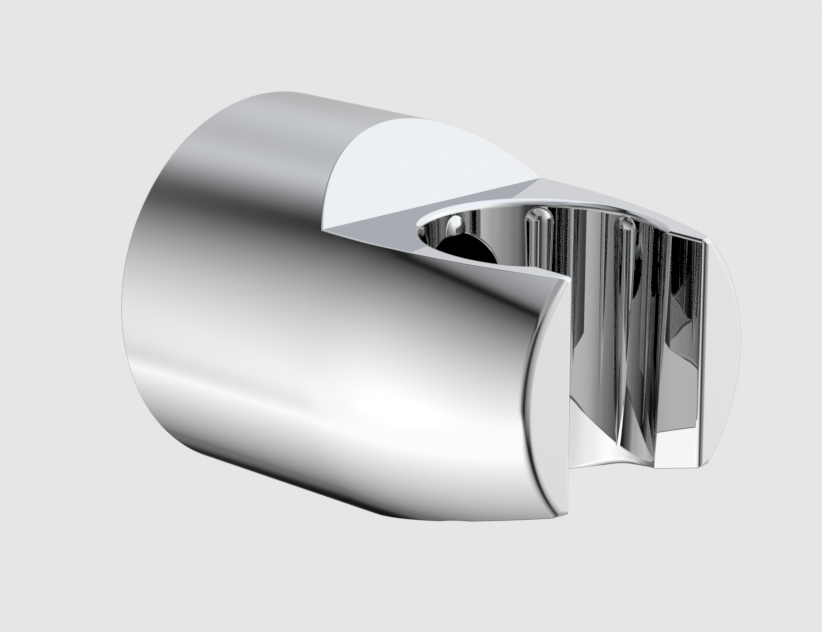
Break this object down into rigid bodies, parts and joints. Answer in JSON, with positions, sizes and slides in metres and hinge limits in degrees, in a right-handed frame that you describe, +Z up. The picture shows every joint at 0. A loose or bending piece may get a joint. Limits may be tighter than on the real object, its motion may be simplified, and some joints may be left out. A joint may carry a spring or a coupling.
{
  "type": "hand shower holder",
  "caption": "Wall-fixed hand shower holder: a short round body with a tapered, ribbed socket, open to the front through a slot for the hose.",
  "frame": {"origin": "centre of the turned body on its wall face", "axes": "+Y points into the wall, so the body sticks out along -Y; +Z is up; +X is to the right, seen from the front"},
  "size_m": [0.042, 0.055, 0.042],
  "materials": {
    "body_chrome": "polished chrome plating"
  },
  "bodies": {
    "root": {"holder_body": "body_chrome"}
  },
  "joints": []
}
